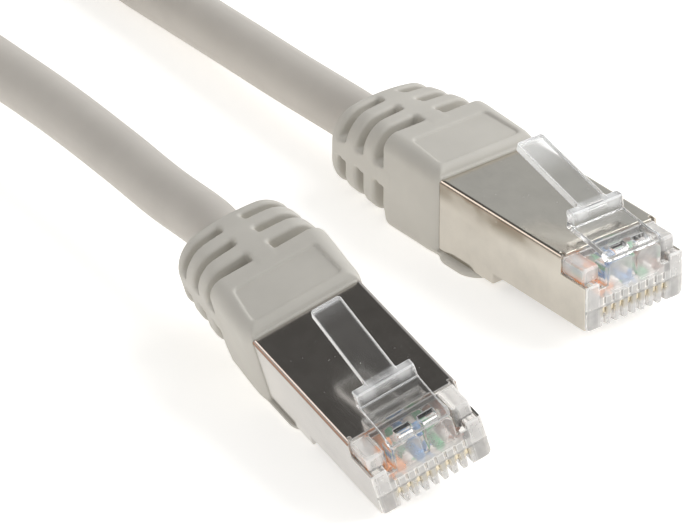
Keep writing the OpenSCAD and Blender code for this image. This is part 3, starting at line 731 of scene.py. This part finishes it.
# ---------------------------------------------------------------- contact blades and wires
def blades_mesh():
    """Eight blades with rounded front corners, chamfered edges and two piercing points each."""
    side = [(-6.2, 1.0)]
    side += [(-0.7 + 0.5 * math.sin(a), 1.5 - 0.5 * math.cos(a)) for a in np.linspace(0, math.pi / 2, 7)]
    side += [(-0.2, 1.9), (-0.4, 1.9), (-0.4, 2.95), (-2.55, 2.95), (-2.9, 3.45), (-3.25, 2.95), (-4.85, 2.95), (-5.2, 3.45), (-5.55, 2.95), (-6.2, 2.95)]
    ring = np.array(side)
    mid = ring.mean(0)
    pts, faces = [], []
    for i in range(8):
        layers = []
        for y, shrink in ((-0.16, 0.96), (-0.13, 1.0), (0.13, 1.0), (0.16, 0.96)):
            base = len(pts)
            for px, pz in mid + (ring - mid) * np.array([1 - (1 - shrink) * 0.25, shrink]):
                pts.append((px, contact_y(i) + y, pz))
            layers.append(list(range(base, base + len(ring))))
        m = len(ring)
        faces.append(layers[0])
        faces.append(layers[-1][::-1])
        for la, lb in zip(layers, layers[1:]):
            for k in range(m):
                faces.append([la[(k + 1) % m], la[k], lb[k], lb[(k + 1) % m]])
    return make_mesh("contacts", pts, faces, smooth=False)


RING_Y = [-1.28, -1.28, -0.51, -0.51, 0.51, 0.51, 1.28, 1.28]
RING_Z = [0.53, -0.53, 1.28, -1.28, 1.28, -1.28, 0.53, -0.53]


def wire_mesh(i, r=0.465, n=18):
    """One insulated conductor, its front edge rolled over the core."""
    y0, z0, y1, z1 = contact_y(i), 3.4, RING_Y[i], CABLE_Z + RING_Z[i]
    path = [(-1.07, y0, z0), (-1.08, y0, z0), (-1.14, y0, z0), (-3.0, y0, z0)]
    path += [(-5.5 - 4.5 * k / 12, y0, z0 + (z1 - z0) * ease(k / 12)) for k in range(13)]
    path += [(-10 - 6.0 * k / 12, y0 + (y1 - y0) * ease(k / 12), z1) for k in range(1, 13)]
    path += [(-27.0, y1, z1), (-38.0, y1, z1)]
    radii = [r * 0.6, r * 0.86] + [r] * (len(path) - 2)
    pts, faces, rings = [], [], []
    Q = np.array(path)
    for k, (p, rad) in enumerate(zip(Q, radii)):
        t = Q[min(k + 1, len(Q) - 1)] - Q[max(k - 1, 0)]
        t /= np.linalg.norm(t)
        s = np.cross(t, [0, 0, 1.0])
        s /= np.linalg.norm(s)
        u = np.cross(s, t)
        rings.append(len(pts))
        pts += [p + rad * (s * math.cos(a) + u * math.sin(a)) for a in np.linspace(0, 2 * math.pi, n, endpoint=False)]
    for ra, rb in zip(rings, rings[1:]):
        faces += [[ra + k, ra + (k + 1) % n, rb + (k + 1) % n, rb + k] for k in range(n)]
    faces.append([rings[0] + k for k in range(n)][::-1])
    faces.append([rings[-1] + k for k in range(n)])
    return make_mesh("wire_" + WIRES[i], pts, faces)


MESHES["contacts"] = blades_mesh()
for i, w in enumerate(WIRES):
    MESHES["wire_" + w] = wire_mesh(i)


def add(end, part, place, mat, body=ROOT):
    me = MESHES[part + "_b" if end == "end_b" and part + "_b" in MESHES else part].copy()
    me.name = f"{end}_{part}_look"
    me.materials.clear()
    me.materials.append(MAT[mat])
    ob = bpy.data.objects.new(f"{end}_{part}_look", me)
    ob.matrix_world = place
    scene.collection.objects.link(ob)
    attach(ob, body)
    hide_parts(f"{end}_{part}")
    return ob


for end, place, latch_body in (("end_a", PLACE_A, "latch_a"), ("end_b", PLACE_B, "latch_b")):
    add(end, "boot", place, "boot")
    add(end, "shield", place, "nickel" if end == "end_a" else "nickel_b")
    add(end, "housing", place, "clear" if end == "end_a" else "clear_b")
    add(end, "latch", place, "lever", latch_body)
    add(end, "contacts", place, "gold")
    for w in WIRES:
        add(end, "wire_" + w, place, w)
    for node, mat in (("jacket_end", "jacket"), ("foil_screen", "foil"), ("drain_wire", "tinned"), ("wire_cores", "copper")):
        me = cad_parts[f"{end}_{node}"].data
        me.materials.clear()
        me.materials.append(MAT[mat])


# ---------------------------------------------------------------- strap that holds the coil
def strap_mesh():
    """A woven strap drawn round the bundle."""
    x0 = COIL_C[0]
    hull = [(-22.5, 3.4), (-22.5, 14.0), (-23.6, 16.2), (-26.2, 16.9), (-28.4, 15.8), (-33.0, 11.2), (-33.9, 8.7), (-33.9, 3.4), (-32.6, 0.85), (-30.0, 0.32), (-26.5, 0.32), (-23.6, 0.9)]
    loop = []
    m = len(hull)
    H = np.array(hull)
    for k in range(m):
        p0, p1, p2, p3 = H[k - 1], H[k], H[(k + 1) % m], H[(k + 2) % m]
        for t in np.linspace(0, 1, 6, endpoint=False):
            loop.append(0.5 * ((2 * p1) + (-p0 + p2) * t + (2 * p0 - 5 * p1 + 4 * p2 - p3) * t * t + (-p0 + 3 * p1 - 3 * p2 + p3) * t ** 3))
    loop = np.array(loop)
    cen = loop.mean(0)
    pts, faces = [], []
    section = [(-3.0, 0.0), (-2.85, 0.24), (2.85, 0.24), (3.0, 0.0), (2.85, -0.24), (-2.85, -0.24)]
    n = len(loop)
    for k in range(n):
        t = loop[(k + 1) % n] - loop[k - 1]
        t /= np.linalg.norm(t)
        nrm = np.array([t[1], -t[0]])
        if np.dot(nrm, loop[k] - cen) < 0:
            nrm = -nrm
        for y, h in section:
            q = loop[k] + nrm * h
            pts.append((x0 + q[0], COIL_C[1] + y, max(0.02, q[1])))
    s = len(section)
    for k in range(n):
        for j in range(s):
            a, b = k * s + j, k * s + (j + 1) % s
            c, d = ((k + 1) % n) * s + (j + 1) % s, ((k + 1) % n) * s + j
            faces.append([a, b, c, d])
    return make_mesh("strap", pts, faces)


strap = bpy.data.objects.new("coil_strap", strap_mesh())
strap.data.materials.append(MAT["strap"])
scene.collection.objects.link(strap)
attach(strap, ROOT)
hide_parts("coil_tie")


# ---------------------------------------------------------------- floor, light and view
def stage_floor():
    me = bpy.data.meshes.new("floor")
    h = 1.6
    me.from_pydata([(-h, -h, -0.00003), (h, -h, -0.00003), (h, h, -0.00003), (-h, h, -0.00003)], [], [[0, 1, 2, 3]])
    m, nt, b, out = new_material("floor_paper")
    v = coords(nt)
    n = noise(nt, v, 0.02, 3.0)
    nt.links.new(ramp(nt, n, [(0.3, (0.88, 0.87, 0.85)), (0.7, (0.905, 0.895, 0.875))]), b.inputs["Base Color"])
    b.inputs["Roughness"].default_value = 0.9
    b.inputs["Specular IOR Level"].default_value = 0.1
    b.inputs["Emission Color"].default_value = (1.0, 0.99, 0.97, 1.0)
    b.inputs["Emission Strength"].default_value = 0.49
    me.materials.append(m)
    ob = bpy.data.objects.new("floor", me)
    scene.collection.objects.link(ob)


def softbox(name, loc, aim, size, watts, color=(1, 1, 1)):
    ld = bpy.data.lights.new(name, "AREA")
    ld.shape = "RECTANGLE"
    ld.size, ld.size_y = size
    ld.energy = watts
    ld.color = color
    ob = bpy.data.objects.new(name, ld)
    scene.collection.objects.link(ob)
    ob.location = loc
    ob.rotation_euler = (Vector(aim) - Vector(loc)).to_track_quat("-Z", "Y").to_euler()


stage_floor()
softbox("key", (0.21, 0.80, 0.71), (0, 0, 0), (0.8, 0.8), 7.5)
softbox("rim", (-0.62, -0.42, 0.48), (0, 0, 0.005), (0.30, 0.30), 0.42, (1.0, 0.85, 0.76))

world = bpy.data.worlds.new("studio")
scene.world = world
world.use_nodes = True
wt = world.node_tree
wt.nodes.clear()
w_out = wt.nodes.new("ShaderNodeOutputWorld")
w_bg = wt.nodes.new("ShaderNodeBackground")
w_tc = wt.nodes.new("ShaderNodeTexCoord")
w_dot = wt.nodes.new("ShaderNodeVectorMath")
w_dot.operation = "DOT_PRODUCT"
w_dot.inputs[1].default_value = (-0.52, 0.08, 0.85)  # the dark part of the studio, which the near plug's top mirrors
wt.links.new(w_tc.outputs["Generated"], w_dot.inputs[0])
w_col = ramp(wt, w_dot.outputs["Value"], [(0.0, (0.70, 0.705, 0.71)), (0.60, (0.70, 0.705, 0.71)), (0.76, (0.67, 0.685, 0.69)), (0.85, (0.50, 0.52, 0.53)), (0.90, (0.36, 0.37, 0.375)), (0.935, (0.20, 0.20, 0.20)), (0.965, (0.10, 0.095, 0.09))])
w_side = wt.nodes.new("ShaderNodeVectorMath")
w_side.operation = "DOT_PRODUCT"
w_side.inputs[1].default_value = (-0.25, -0.94, 0.24)  # the studio's dimmer side
wt.links.new(w_tc.outputs["Generated"], w_side.inputs[0])
w_dim = ramp(wt, w_side.outputs["Value"], [(0.35, (1.0, 1.0, 1.0)), (0.95, (0.80, 0.795, 0.79))])
wt.links.new(mix_rgb(wt, 1.0, w_col, w_dim, "MULTIPLY"), w_bg.inputs[0])
w_bg.inputs[1].default_value = 1.0
wt.links.new(w_bg.outputs[0], w_out.inputs[0])
scene.view_settings.view_transform = "Standard"
scene.view_settings.look = "None"
scene.view_settings.exposure = 0.0
